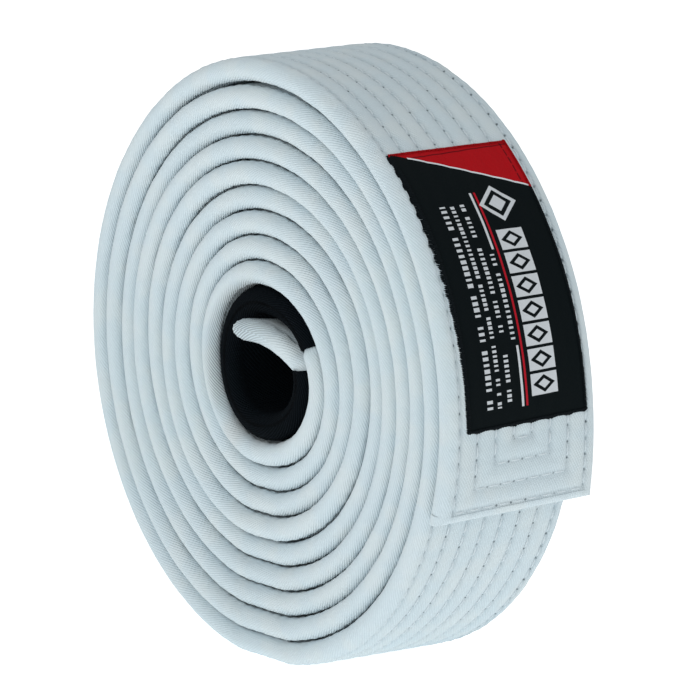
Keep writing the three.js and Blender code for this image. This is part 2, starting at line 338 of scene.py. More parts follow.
def add_mark(item, name, values):
    """A named value at each place of the mesh, for the material."""
    attribute = item.data.attributes.new(name, "FLOAT", "POINT")
    attribute.data.foreach_set("value", np.asarray(values).ravel().astype(np.float32))


def places_of(item):
    """The mesh's places, in millimetres."""
    places = np.zeros(len(item.data.vertices) * 3)
    item.data.vertices.foreach_get("co", places)
    return places.reshape(-1, 3) * 1000


def put_places(item, places):
    item.data.vertices.foreach_set("co", (places / 1000).ravel())
    item.data.update()


def tube_faces(rings, sides):
    """Quads between neighbouring rings, wound so that they face outwards."""
    ring = np.arange(rings - 1)[:, None] * sides
    after = ring + sides
    here = np.arange(sides)[None, :]
    there = (here + 1) % sides
    return np.stack([ring + here, after + here, after + there, ring + there], axis=-1).reshape(-1, 4)


def ring_round(values, sign=1):
    """Values over the outer face, and back under the inner face."""
    return np.concatenate([values, sign * values[:, -2:0:-1]], axis=1)


def strap(name, path, across, height, lift=0.0, marks=None):
    """A closed length of strap. Each ring runs over its outer face and back under its inner face.
    Marks are named values at each place, for the material."""
    count, width = height.shape
    ring_across = ring_round(np.broadcast_to(across, height.shape))
    ring_height = ring_round(height, -1) + lift
    points = path.points(ring_across, ring_height).reshape(-1, 3)
    sides = 2 * width - 2
    faces = tube_faces(count, sides)
    girth = np.linalg.norm(np.diff(np.stack([ring_across, ring_height], -1)[count // 2], axis=0), axis=1)
    around = np.concatenate([[0], np.cumsum(girth)]) / 1000
    closing = around[-1] + abs(ring_height[count // 2, -1]) / 1000
    along = path.distance / 1000
    ring = faces[:, 0] // sides
    column = faces[:, 0] % sides
    last = np.where(column == sides - 1, closing, around[(column + 1) % sides])
    uvs = np.stack([
        np.stack([along[ring], around[column]], -1),
        np.stack([along[ring + 1], around[column]], -1),
        np.stack([along[ring + 1], last], -1),
        np.stack([along[ring], last], -1),
    ], axis=1)
    caps = []
    for first, order in ((0, 1), ((count - 1) * sides, -1)):
        for i in range(width - 1):
            a, b = first + i, first + i + 1
            d, c = first + (sides - i) % sides, first + (sides - i - 1) % sides
            cap = [a, b, c, d] if i < width - 2 else [a, b, d]
            cap = cap if i > 0 else [a, b, c]
            caps.append(cap[::order])
    cap_uvs = [np.zeros((len(cap), 2)) for cap in caps]
    item = new_object(name, points, list(faces) + caps, list(uvs) + cap_uvs)
    for mark, values in (marks or {}).items():
        add_mark(item, mark, ring_round(np.broadcast_to(values, height.shape)))
    smooth(item, 50)
    return item


def row_place(row):
    return (row - (ROWS - 1) / 2) * ROW_SPACING


def cross_count(line):
    """Number of stitches in the run across the strap that closes a loop, and half its length."""
    reach = abs(row_place(line))
    return np.maximum(1, np.round(2 * reach / STITCH)), reach


def quilted(name, path, across, half_width=BELT_WIDTH / 2, end=None, squeeze=0.0, narrow=1.0):
    """A length of quilted strap, which closes in a rounded edge at the distance end."""
    to_end = np.full(path.distance.shape, NO_END) if end is None else np.abs(path.distance - end)
    from_end = to_end[:, None]
    from_side = half_width - np.abs(across)[None, :]
    inward = np.minimum(from_side, from_end)
    row = np.round(across / ROW_SPACING * 2) / 2    # whole at a row's place, half between two rows
    height = quilt(np.maximum(inward, 0), path.distance[:, None], row[None, :], from_end) - squeeze
    height = np.maximum(height, 0.004)      # the two faces never meet inside the strap
    height[:, [0, -1]] = 0
    line = np.clip(np.round((inward - ROW_EDGE) / ROW_SPACING), 0, ROWS // 2 - 1)
    count, reach = cross_count(line)
    along_cross = (across[None, :] + reach) * STITCH * count / (2 * reach)
    run = np.where(from_end < from_side, along_cross, path.distance[:, None])
    placed = across[None, :] * np.broadcast_to(np.asarray(narrow, float), path.distance.shape)[:, None]
    return strap(name, path, placed, height, marks={"inward": inward, "run": run})


def stitches(name, runs):
    """Short lengths of thread that rise from the cloth and dip back into it. Each run gives the middle
    points, the directions along and the directions up of its stitches, in millimetres."""
    shape = np.array([-0.5, -0.46, -0.3, 0.0, 0.3, 0.46, 0.5])
    rise = np.array([-0.55, -0.2, 0.06, 0.14, 0.06, -0.2, -0.55])
    thick = np.array([0.45, 0.8, 1.0, 1.0, 1.0, 0.8, 0.45])
    sides = 6
    angle = np.linspace(0, 2 * np.pi, sides, endpoint=False)
    vertices, faces = [], []
    ring_quads = tube_faces(len(shape), sides)
    cap = list(range(sides))
    last = [len(shape) * sides - sides + i for i in range(sides)]
    for middles_, alongs, ups in runs:
        for middle, along, up in zip(middles_, alongs, ups):
            side = np.cross(along, up)
            line = middle + along * (shape * STITCH_LENGTH)[:, None] + up * rise[:, None]
            circle = np.cos(angle)[:, None] * side + np.sin(angle)[:, None] * up
            body = line[:, None, :] + circle[None] * (THREAD_RADIUS * thick)[:, None, None]
            start = len(vertices) * len(shape) * sides
            vertices.append(body.reshape(-1, 3))
            faces.extend((ring_quads + start).tolist())
            faces.append([start + i for i in cap])
            faces.append([start + i for i in reversed(last)])
    item = new_object(name, np.concatenate(vertices) / 1000, faces)
    smooth(item, 60)
    return item


def stitch_places(path, distances, across, face, height):
    """The strap's outward direction, and the middles and upward directions of stitches on its outer
    face (1) or inner face (-1)."""
    here = path.at(distances)
    flat = here.middle + here.outward * (face * (height + THREAD_LIFT))
    middle = np.stack([flat[:, 0], across + here.shift, flat[:, 1]], -1)
    up = face * np.stack([here.outward[:, 0], 0 * distances, here.outward[:, 1]], -1)
    return here.outward, middle, up


def row_run(path, across, face, from_distance, to_distance):
    """The stitches of a row that runs along the strap."""
    first = math.ceil((from_distance + STITCH_MARGIN) / STITCH)
    last = math.floor((to_distance - STITCH_MARGIN) / STITCH)
    spots = (np.arange(first, last) + 0.5) * STITCH
    outward, middle, up = stitch_places(path, spots, across, face, VALLEY)
    return middle, np.stack([-outward[:, 1], 0 * spots, outward[:, 0]], -1), up


def cross_run(path, distance, face, reach, height=VALLEY):
    """The stitches of a run across the strap."""
    count = int(max(1, np.round(2 * reach / STITCH)))
    spots = (np.arange(count) + 0.5) * (2 * reach / count) - reach
    _, middle, up = stitch_places(path, np.full(count, distance), spots, face, height)
    return middle, np.tile(np.array([0.0, 1.0, 0.0]), (count, 1)), up


# ---- Materials ----
class Value:
    """A number that varies over a surface. Arithmetic on it adds Math nodes."""

    def __init__(self, shader, socket):
        self.shader = shader
        self.socket = socket

    def calculate(self, operation, *terms):
        return self.shader.add("Math", {"operation": operation}, dict(enumerate(terms))).out(0)

    def __add__(self, other):
        return self.calculate("ADD", self, other)

    def __sub__(self, other):
        return self.calculate("SUBTRACT", self, other)

    def __rsub__(self, other):
        return self.calculate("SUBTRACT", other, self)

    def __mul__(self, other):
        return self.calculate("MULTIPLY", self, other)

    def __truediv__(self, other):
        return self.calculate("DIVIDE", self, other)

    def __lt__(self, other):
        return self.calculate("LESS_THAN", self, other)

    def __gt__(self, other):
        return self.calculate("GREATER_THAN", self, other)

    def __mod__(self, other):
        return self.calculate("FLOORED_MODULO", self, other)

    def __abs__(self):
        return self.calculate("ABSOLUTE", self)

    def sine(self):
        return self.calculate("SINE", self)

    def floor(self):
        return self.calculate("FLOOR", self)

    def root(self):
        return self.calculate("SQRT", self)

    __radd__ = __add__
    __rmul__ = __mul__


class Node:
    def __init__(self, shader, node):
        self.shader = shader
        self.node = node

    def out(self, name):
        return Value(self.shader, self.node.outputs[name])


class Shader:
    """A material with one principled surface."""

    def __init__(self, name, **surface):
        self.material = bpy.data.materials.new(name)
        self.material.use_nodes = True
        self.tree = self.material.node_tree
        self.surface = self.tree.nodes["Principled BSDF"]
        for socket, value in surface.items():
            self.surface.inputs[socket.replace("_", " ")].default_value = value

    def add(self, kind, settings=None, inputs=None):
        node = self.tree.nodes.new("ShaderNode" + kind)
        for name, value in (settings or {}).items():
            setattr(node, name, value)
        for name, value in (inputs or {}).items():
            self.put(node.inputs[name], value)
        return Node(self, node)

    def put(self, socket, value):
        if isinstance(value, Value):
            self.tree.links.new(value.socket, socket)
        else:
            socket.default_value = value

    def blend(self, share, first, second):
        """Two colours, mixed by a share from 0 to 1."""
        inputs = {"Factor": share, 6: first, 7: second}
        return self.add("Mix", {"data_type": "RGBA"}, inputs).out(2)

    def noise(self, vector, scale, detail=2.0):
        return self.add("TexNoise", {}, {"Vector": vector, "Scale": scale, "Detail": detail}).out("Fac")

    def cloth_places(self):
        """Distance along and round the cloth, in millimetres."""
        uv = self.add("UVMap", {"uv_map": "cloth"}).out("UV")
        parts = self.add("SeparateXYZ", {}, {0: uv})
        return parts.out("X") * 1000, parts.out("Y") * 1000

    def place(self):
        return self.add("TexCoord").out("Object")

    def mark(self, name):
        """A named value of the piece's own mesh."""
        return self.add("Attribute", {"attribute_name": name}).out("Fac")

    def fade(self, value, none_at, full_at, full):
        """Grows smoothly from 0 at one value to full at another."""
        inputs = {"Value": value, "From Min": none_at, "From Max": full_at, "To Max": full}
        return self.add("MapRange", {"interpolation_type": "SMOOTHSTEP"}, inputs).out("Result")

    def emboss(self, height, distance):
        """Sets the surface's bump from a height of 0 to 1 that stands for that many metres."""
        inputs = {"Height": height, "Distance": distance, "Strength": 1.0}
        normal = self.add("Bump", {}, inputs).out("Normal")
        self.put(self.surface.inputs["Normal"], normal)

    def colour(self, value):
        self.put(self.surface.inputs["Base Color"], value)

    def roughness(self, value):
        self.put(self.surface.inputs["Roughness"], value)


def rgb(red, green, blue):
    return (red, green, blue, 1.0)


def twill(shader, along, around, spacing=0.54, slant=0.52):
    """Height of the diagonal ribs of a twill, from 0 to 1."""
    place = along * (math.sin(slant) / spacing) + around * (math.cos(slant) / spacing)
    return (place * (2 * math.pi)).sine() * 0.5 + 0.5


def white_cotton():
    shader = Shader("white_cotton_twill", Roughness=0.92, Specular_IOR_Level=0.25)
    shader.surface.inputs["Sheen Weight"].default_value = 0.12
    shader.surface.inputs["Sheen Roughness"].default_value = 0.6
    along, around = shader.cloth_places()
    place = shader.place()
    ribs = twill(shader, along, around)
    cloud = shader.noise(place, 55.0, 3.0)
    fuzz = shader.noise(place, 1900.0, 2.0)
    worn = ribs * 0.5 + fuzz * 0.5
    base = shader.blend(worn, rgb(0.475, 0.572, 0.615), rgb(0.585, 0.680, 0.720))
    warmth = shader.fade(shader.noise(place, 120.0, 2.0), 0.40, 0.66, 0.45)
    tone = shader.blend(warmth, base, rgb(0.600, 0.660, 0.665))
    inward = shader.mark("inward")
    to_row = abs((inward - ROW_EDGE + ROW_SPACING / 2) % ROW_SPACING - ROW_SPACING / 2)
    to_hole = abs((shader.mark("run") + STITCH / 2) % STITCH - STITCH / 2)
    # Painted shade: the needle holes along the rows are darkened as if shadowed inside, some more than
    # others.
    hole_shade_share = shader.fade(shader.noise(place, 240.0, 1.0), 0.36, 0.62, 0.85)
    sewn = inward > ROW_EDGE - 1
    hole_shade = shader.fade(to_row * to_row + to_hole * to_hole * 0.8, 0.11, 0.02, 1.0) * hole_shade_share * sewn
    # Painted shade: the cloth is darkened along the quilting rows' creases, as if the grooves lay in
    # shadow.
    crease_shade = shader.fade(to_row, 1.1, 0.1, 0.20) * sewn
    crease_shaded = shader.blend(crease_shade, tone, rgb(0.30, 0.37, 0.41))
    hole_shaded = shader.blend(hole_shade, crease_shaded, rgb(0.10, 0.13, 0.15))
    # A small faint stain beside the eye, and painted shade on the twill's ribs at the upper left, where
    # the cloth meets the rank bar round the eye.
    spot = Vector((CENTRE[0] - 10, -20, CENTRE[1] - 16.5)) / 1000
    away = shader.add("VectorMath", {"operation": "DISTANCE"}, {0: place, 1: spot}).out("Value")
    stained = shader.blend(shader.fade(away, 0.006, 0.001, 0.25), hole_shaded, rgb(0.46, 0.40, 0.33))
    parts = shader.add("SeparateXYZ", {}, {0: place})
    over = (parts.out("X") * 1000 - float(CENTRE[0]), parts.out("Z") * 1000 - float(CENTRE[1]))
    from_axis = (over[0] * over[0] + over[1] * over[1]).root()
    upper_left = shader.fade(over[0] * 0.72 - over[1] * 0.69, 4.0, -9.0, 1.0)
    # Painted shade: the ribs darken towards the eye's rim at its upper left.
    eye_rim_shade = shader.fade(from_axis, 22.0, 18.6, 1.0) * upper_left * (ribs > 0.45) * 0.55
    shader.colour(shader.blend(eye_rim_shade, stained, rgb(0.06, 0.08, 0.09)))
    shader.roughness(0.86 + cloud * 0.1)
    shader.emboss(ribs * 0.6 + fuzz * 0.4, 0.00014)
    return shader.material


def unbleached_cotton():
    shader = Shader("unbleached_cotton_wadding", Roughness=0.95)
    place = shader.place()
    fibre = shader.noise(place, 900.0, 4.0)
    shader.colour(shader.blend(fibre, rgb(0.60, 0.56, 0.46), rgb(0.76, 0.72, 0.62)))
    shader.emboss(fibre, 0.0002)
    return shader.material


BLACK_THREAD = (rgb(0.001, 0.002, 0.003), rgb(0.008, 0.012, 0.014))


def spun(shader):
    """Roughens a thread with its fibres, and gives their height."""
    fibre = shader.noise(shader.place(), 3200.0, 2.0)
    shader.emboss(fibre, 0.00006)
    return fibre


def thread(name, dark, light, gloss):
    shader = Shader(name, Roughness=0.72, Specular_IOR_Level=gloss)
    shader.colour(shader.blend(spun(shader), dark, light))
    return shader.material


def label_edge_sewing():
    """Black thread, red where it closes the label's red corner."""
    shader = Shader("label_edge_sewing_thread", Roughness=0.75, Specular_IOR_Level=0.05)
    fibre = spun(shader)
    black = shader.blend(fibre, *BLACK_THREAD)
    red = shader.blend(fibre, rgb(0.17, 0.002, 0.004), rgb(0.42, 0.006, 0.010))
    shader.colour(shader.blend(shader.mark("red"), black, red))
    return shader.material


def black_cotton():
    shader = Shader("black_cotton_twill", Roughness=0.9, Specular_IOR_Level=0.03)
    along, around = shader.cloth_places()
    ribs = twill(shader, along, around, 0.7)
    lint = shader.noise(shader.place(), 2400.0, 2.0)
    base = shader.blend(ribs, rgb(0.0008, 0.0016, 0.0024), rgb(0.0036, 0.0058, 0.0080))
    range_of = {"Value": lint, "From Min": 0.66, "From Max": 0.80, "To Max": 0.12}
    specks = shader.add("MapRange", {}, range_of).out("Result")
    shader.colour(shader.blend(specks, base, rgb(0.06, 0.07, 0.08)))
    shader.emboss(ribs * 0.7 + lint * 0.3, 0.00016)
    return shader.material


def woven_label():
    """Black woven label with a red corner, a chain of diamonds and rows of plain dashes."""
    shader = Shader("woven_label", Roughness=0.62, Specular_IOR_Level=0.03)
    down, over = shader.cloth_places()
    weave_down = (down * (2 * math.pi / 0.42)).sine()
    weave_over = (over * (2 * math.pi / 0.34)).sine()
    weave = weave_down * weave_over * 0.5 + 0.5
    ground = shader.blend(weave, rgb(0.0016, 0.0034, 0.0042), rgb(0.0052, 0.0085, 0.0096))
    white = rgb(0.62, 0.66, 0.69)
    red = shader.blend(weave, rgb(0.29, 0.003, 0.006), rgb(0.48, 0.009, 0.014))
    slope = LABEL_CORNER / LABEL_WIDTH
    past = down - over * slope
    corner_share = past < 0
    art = shader.blend(corner_share, ground, red)
    hairline = (abs(past) < 0.22) * (over > 4.0)
    hem = (abs(down - 1.9 + over * 0.03) < 0.16) + (abs(over - 29.6) < 0.18)
    hem = hem * (abs(down % 2.2 - 1.1) < 0.9) * corner_share
    art = shader.blend(hem * 0.75, art, rgb(0.05, 0.003, 0.006))
    # A row of plain blocks with a diamond cut in each, and a ringed diamond at its head.
    centre = 20.7
    chain_top = 21.5
    within = (down > chain_top) * (down < 58.5)
    step = 5.3
    local = abs((down - chain_top) % step - step / 2)
    block = (local < 2.32) * (abs(over - centre) < 3.5) * within
    size = local / 1.9 + abs(over - centre) / 2.9
    blocks = block * (1 - (size < 1.0)) + (size < 0.55) * within
    head = abs(down - 15.6) / 4.4 + abs(over - centre) / 5.0
    ring = (head < 1.0) * (1 - (head < 0.74)) + (head < 0.46)
    # A white and a red stripe side by side, then rows of dashes of uneven length.
    gap_in_stripe = (down > 26.0) * (down < 47.0)
    striped = (down > 12.5) * (down < 60.0)
    stripe = (abs(over - 14.7) < 0.30) * striped * (1 - gap_in_stripe)
    red_stripe = (abs(over - 15.8) < 0.26) * striped
    marks = blocks + ring + stripe
    for centre_over, height, start, stop, pitch in (
        (14.0, 0.55, 27.0, 46.0, 1.15),
        (11.2, 0.60, 15.0, 58.5, 1.05),
        (8.5, 0.55, 15.0, 59.5, 1.00),
        (5.9, 0.75, 15.0, 59.5, 1.30),
    ):
        cell = (down / pitch).floor()
        place = shader.add("CombineXYZ", {}, {0: cell, 1: centre_over}).out(0)
        noise = shader.add("TexWhiteNoise", {"noise_dimensions": "2D"}, {"Vector": place})
        chance = noise.out("Value")
        long_enough = abs(down % pitch - pitch / 2) < (chance * 0.20 + 0.16) * pitch
        low = abs(over - centre_over) < height
        marks = marks + long_enough * low * (down > start) * (down < stop) * (chance > 0.14)
    marks = marks * (1 - corner_share)
    capped = marks.calculate("MINIMUM", marks, 1.0)
    art = shader.blend(red_stripe * (1 - corner_share), art, rgb(0.40, 0.010, 0.020))
    art = shader.blend(capped * (weave * 0.25 + 0.75), art, white)
    shader.colour(shader.blend(hairline, art, white))
    shader.emboss(capped * 0.4 + weave * 0.5, 0.00009)
    shader.roughness(0.52 + weave * 0.14)
    return shader.material


cotton = white_cotton()
wadding = unbleached_cotton()
white_thread = thread("white_sewing_thread", rgb(0.50, 0.585, 0.62), rgb(0.68, 0.75, 0.785), 0.3)
black_thread = thread("black_sewing_thread", *BLACK_THREAD, 0.05)
black_twill = black_cotton()
label_weave = woven_label()
edge_thread = label_edge_sewing()


def dress(item, material):
    item.data.materials.append(material)


# ---- Where the strap bends ----
def place_on(path, distance):
    """The strap's middle at that distance, in metres."""
    flat = path.at(np.array([distance])).middle[0]
    return (flat[0] / 1000, 0.0, flat[1] / 1000)


LIFT = distance_of(LIFT_WINDING)
bend_start = place_on(roll, LIFT + BEND_BEFORE)
bend_end = place_on(roll, LIFT - BEND_BEYOND)
tip_start = place_on(tip, END_OF_ROLL)
tip_end = place_on(tip, END_OF_ROLL + TIP_BEND)


def loosen(item):
    """The free end isn't held down: it stands off the roll, most at its far corner, and lies askew."""
    places = places_of(item)
    out = places[:, [0, 2]] - CENTRE
    radius = np.linalg.norm(out, axis=1)
    outward = out / radius[:, None]
    end_angle = math.radians(FREE_END_ANGLE) - TILT
    from_end = (np.arctan2(out[:, 1], out[:, 0]) - end_angle) * OUTER_RADIUS
    side = places[:, 1] / (BELT_WIDTH / 2)
    curl = np.clip(1 - from_end / CURL_LENGTH, 0, 1.1) ** 2
    askew = np.clip(1 - from_end / ASKEW_LENGTH, 0, 1.02)
    push = curl * (END_GAP + CORNER_GAP * side)
    slide = -ASKEW_SLIDE * side * askew
    onwards = np.stack([outward[:, 1], -outward[:, 0]], axis=-1)
    flat = places[:, [0, 2]] + outward * push[:, None] + onwards * slide[:, None]
    places[:, 0], places[:, 2] = flat[:, 0], flat[:, 1]
    places[:, 1] += askew * (0.5 + 0.5 * side)
    put_places(item, places)


def bend_with_end(item):
    loosen(item)
    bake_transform(item)


def twist(item):
    """The bare tip twists as it comes out of the bar: its near edge rises and its far edge droops."""
    places = places_of(item)
    away = np.linalg.norm(places[:, None, [0, 2]] - tip.middle[None], axis=2)
    nearest = np.argmin(away, axis=1)
    travel = tip.distance[nearest] - END_OF_ROLL
    rise = -TIP_TWIST * (places[:, 1] / (BELT_WIDTH / 2)) * smooth_step(travel, 0.5, 0.8 * TIP_LENGTH)
    flat = places[:, [0, 2]] + tip.outward[nearest] * rise[:, None]
    places[:, 0], places[:, 2] = flat[:, 0], flat[:, 1]
    put_places(item, places)


def bend_with_tip(item):
    twist(item)
    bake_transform(item)


# ---- Cover of the strap ----
def steps(start, stop, size):
    return np.linspace(start, stop, max(2, round((stop - start) / size) + 1))


MEET = round(distance_of(FLAP_MEETS) / STITCH) * STITCH
UNDER = round(distance_of(UNDER_FLAP) / STITCH) * STITCH
fine_across = samples_across(8, 8, BELT_WIDTH / 2)
plain_across = samples_across(2, 7, BELT_WIDTH / 2)
slim_across = samples_across(2, 5, SLIM_HALF)
rounding = EDGE_ROUND * (1 - np.cos(np.linspace(0, np.pi / 2, 9)))


def make_cover(item, *nodes):
    dress(item, cotton)
    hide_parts(*nodes)


end_stations = np.concatenate([rounding, steps(2.4, MEET, 0.6)])
free_end = quilted("free_end_cover", roll.at(end_stations), fine_across, end=0.0)
make_cover(free_end, "cover_outer_end")
bend_with_end(free_end)

outer_turn = quilted("outer_turn_cover", roll.at(steps(MEET, UNDER, 0.9)), fine_across)
make_cover(outer_turn, "cover_turn_1")
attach(outer_turn, "coil")

sleeve_starts = distance_of(SLEEVE_START)
part_ways = [UNDER]                 # where one pair of turns ends and the next begins
for winding in (1179.0, 1899.0, 2619.0):
    part_ways.append(round(distance_of(winding) / STITCH) * STITCH)
part_ways.append(sleeve_starts + 2)
for number, (start, stop) in enumerate(zip(part_ways, part_ways[1:]), 1):
    stations = steps(start, stop, 0.72)
    going_in = 1 - BAR_PINCH * smooth_step(stations - sleeve_starts, -1.6, 0.2)
    turns = quilted(f"inner_turns_cover_{number}", roll.at(stations), plain_across, narrow=going_in)
    make_cover(turns, f"cover_turn_{2 * number}", f"cover_turn_{2 * number + 1}")
    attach(turns, "coil")

bar_stations = steps(sleeve_starts + 1.2, END_OF_ROLL - 1.5, 1.2)
under_bar = quilted("rank_bar_strap_cover", roll.at(bar_stations), slim_across, SLIM_HALF, squeeze=0.1)
make_cover(under_bar, "cover_turn_10")
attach(under_bar, "coil")

tip_stations = steps(END_OF_ROLL - 1.2, END_OF_TIP - 2.4, 0.45)
tip_stations = np.concatenate([tip_stations, (END_OF_TIP - rounding)[::-1]])
widening = 1 - BAR_PINCH + BAR_PINCH * smooth_step(tip_stations - END_OF_ROLL, 0.2, 2.4)
tip_cover = quilted("inner_tip_cover", tip.at(tip_stations), fine_across[::2],
                    end=END_OF_TIP, narrow=widening)
make_cover(tip_cover, "cover_inner_tip")
bend_with_tip(tip_cover)


# ---- Cotton wadding inside it ----
def ply(name, node, path, depth):
    """A length of a ply, a little thinner than its solid so that it stays inside the cover."""
    across = np.linspace(-CORE_WIDTH / 2, CORE_WIDTH / 2, 7)
    height = np.full((len(path.distance), len(across)), CORE_PLY / 2)
    height[:, [0, -1]] = 0
    middle = BELT_THICKNESS / 2 - depth - CORE_PLY / 2
    item = strap(name, path, across, height * 0.92, lift=0.8 * middle)
    dress(item, wadding)
    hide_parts(node)
    return item


for number, depth in enumerate(CORE_DEPTHS, 1):
    name, node = f"wadding_{number}", f"core_ply_{number}"
    stations = steps(MEET, END_OF_ROLL - 2, 2.0)
    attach(ply(f"{name}_rolled", f"{node}_rolled", roll.at(stations), depth), "coil")
    stations = steps(2.2, MEET, 1.0)
    bend_with_end(ply(f"{name}_free_end", f"{node}_outer_end", roll.at(stations), depth))
    stations = steps(END_OF_ROLL - 1.5, END_OF_TIP - 2.2, 0.6)
    bend_with_tip(ply(f"{name}_inner_tip", f"{node}_inner_tip", tip.at(stations), depth))

# ---- Rows of thread ----
for row in range(ROWS):
    runs = [row_run(roll, row_place(row), 1, MEET, UNDER)]
    thread_row = stitches(f"quilting_row_{row + 1}_thread", runs)
    dress(thread_row, white_thread)
    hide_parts(f"quilting_row_{row + 1}")
    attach(thread_row, "coil")

for loop in range(ROWS // 2):
    edge = ROW_EDGE + loop * ROW_SPACING
    reach = abs(row_place(loop))
    runs = []
    for face in (1, -1):
        runs += [row_run(roll, side * reach, face, edge, MEET) for side in (-1, 1)]
        runs.append(cross_run(roll, edge, face, reach))
    thread_loop = stitches(f"end_loop_{loop + 1}_thread", runs)
    dress(thread_loop, white_thread)
    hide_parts(f"end_loop_{loop + 1}")
    bend_with_end(thread_loop)

tip_runs = []
for loop in range(ROWS // 2):
    edge = END_OF_TIP - (ROW_EDGE + loop * ROW_SPACING)
    reach = abs(row_place(loop))
    for face in (1, -1):
        tip_runs += [row_run(tip, side * reach, face, END_OF_ROLL + 1.5, edge) for side in (-1, 1)]
        if edge > END_OF_ROLL + 2:
            tip_runs.append(cross_run(tip, edge, face, reach))
tip_thread = stitches("inner_tip_thread", [run for run in tip_runs if len(run[0])])
dress(tip_thread, white_thread)
bend_with_tip(tip_thread)


# ---- Rank bar: a black sleeve round the innermost turn ----
def sleeve():
    """A tube of cloth with an outer and an inner surface, and a hem at each end."""
    path = roll.at(steps(sleeve_starts, END_OF_ROLL, 0.5))
    half_width = BELT_WIDTH / 2 - 0.1
    across = samples_across(4, 7, half_width)
    inward = half_width - np.abs(across)[None, :]
    from_end = np.minimum(path.distance - sleeve_starts, END_OF_ROLL - path.distance)[:, None]
    outer, corner_round = 3.22, 2.6
    flank = np.clip(1 - inward / corner_round, 0, 1)
    edge = outer * np.sqrt(np.clip(1 - flank ** 2, 0, 1))
    along = path.distance[:, None]
    gathered = 0.07 * np.sin(2 * np.pi * along / 1.9 + 2.0 * np.sin(across[None, :] / 6))
    gathered = gathered + 0.05 * wander(along * 2.2, across[None, :] / 9)
    hem = 0.12 * np.exp(-(((from_end - 1.6) / 0.9) ** 2))
    hem = hem - 0.22 * np.exp(-(((from_end - BAR_SEAM) / 0.35) ** 2))
    turned_in = 0.35 * np.exp(-((from_end / 0.5) ** 2))
    height = edge + np.clip(inward / 1.0, 0, 1) * (gathered + hem - turned_in)
    height[:, [0, -1]] = 0
    count, width = height.shape
    sides = 2 * width - 2
    lining = across * (half_width - SLEEVE_WALL) / half_width
    inner = np.minimum(np.maximum(height - SLEEVE_WALL, 0), 2.7)
    points = []
    for sideways, rise in ((across, height), (lining, inner)):
        ring_across = ring_round(np.broadcast_to(sideways, height.shape))
        points.append(path.points(ring_across, ring_round(rise, -1)).reshape(-1, 3))
    shell = tube_faces(count, sides)
    hidden = shell[:, ::-1] + count * sides
    here = np.arange(sides)
    there = (here + 1) % sides
    first = np.stack([here, there, there + count * sides, here + count * sides], -1)
    last = np.stack([there, here, here + count * sides, there + count * sides], -1) + (count - 1) * sides
    faces = np.concatenate([shell, hidden, first, last])
    girth = np.linspace(0, 2 * (2 * half_width + 4), sides) / 1000
    place = np.arange(2 * count * sides) % (count * sides)
    uv_of = np.stack([path.distance[place // sides] / 1000, girth[place % sides]], -1)
    item = new_object("rank_bar", np.concatenate(points), faces, list(uv_of[faces]))
    smooth(item, 50)
    return item


bar = sleeve()
dress(bar, black_twill)
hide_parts("rank_bar_sleeve")
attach(bar, "coil")

for number, distance in enumerate((sleeve_starts + BAR_SEAM, END_OF_ROLL - BAR_SEAM), 1):
    runs = [cross_run(roll, distance, face, 18.4, height=3.02) for face in (1, -1)]
    seam = stitches(f"rank_bar_seam_{number}_thread", runs)
    dress(seam, black_thread)
    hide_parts(f"rank_bar_seam_{number}")
    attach(seam, "coil")

# ---- Label ----
label_top = distance_of(LABEL_TOP)
label_bottom = label_top - LABEL_LENGTH


def label_height(along, across):
    """Height of the label over the middle of the strap: it follows the quilting faintly."""
    puffs = np.abs(np.sin(np.pi * (across - ROW_SPACING / 2) / ROW_SPACING)) ** PUFF_POWER
    return LABEL_RISE - 0.16 + 0.14 * puffs + 0.05 * wander(along * 1.3, across / 11)


def label_path(distances):
    """The label is sewn on slightly askew."""
    here = roll.at(distances)
    here.shift = here.shift + 0.8 - 1.4 * (distances - label_bottom) / LABEL_LENGTH
    return here


def label():
    path = label_path(steps(label_bottom, label_top, 0.65))
    across = np.linspace(-LABEL_WIDTH / 2, LABEL_WIDTH / 2, 53)
    rows, columns = len(path.distance), len(across)
    top = label_height(path.distance[:, None], across[None, :])
    from_side = LABEL_WIDTH / 2 - np.abs(across)[None, :]
    from_end = np.minimum(path.distance - label_bottom, label_top - path.distance)[:, None]
    top = top - 0.16 * np.exp(-((np.minimum(from_side, from_end) / 0.7) ** 2))
    points = np.concatenate([path.points(across, rise).reshape(-1, 3) for rise in (top, top - 0.4)])
    index = np.arange(rows * columns).reshape(rows, columns)
    quads = np.stack([index[:-1, :-1], index[:-1, 1:], index[1:, 1:], index[1:, :-1]], -1).reshape(-1, 4)
    below = quads[:, ::-1] + rows * columns
    down = (label_top - path.distance) / 1000
    over = (across + LABEL_WIDTH / 2) / 1000
    uv_grid = np.stack(np.meshgrid(down, over, indexing="ij"), -1).reshape(-1, 2)
    rim = np.concatenate([index[0, :], index[1:, -1], index[-1, -2::-1], index[-2:0:-1, 0]])
    walls = [[a, a + rows * columns, b + rows * columns, b] for a, b in zip(rim, np.roll(rim, -1))]
    faces = quads[:, ::-1].tolist() + below[:, ::-1].tolist() + [wall[::-1] for wall in walls]
    uvs = [uv_grid[np.array(face) % (rows * columns)] for face in faces]
    item = new_object("label", points, faces, uvs)
    select_only(item)
    bpy.ops.object.mode_set(mode="EDIT")
    bpy.ops.mesh.select_all(action="SELECT")
    bpy.ops.mesh.normals_make_consistent(inside=False)
    bpy.ops.object.mode_set(mode="OBJECT")
    smooth(item, 50)
    return item


patch = label()
dress(patch, label_weave)
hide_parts("label_patch")
bend_with_end(patch)


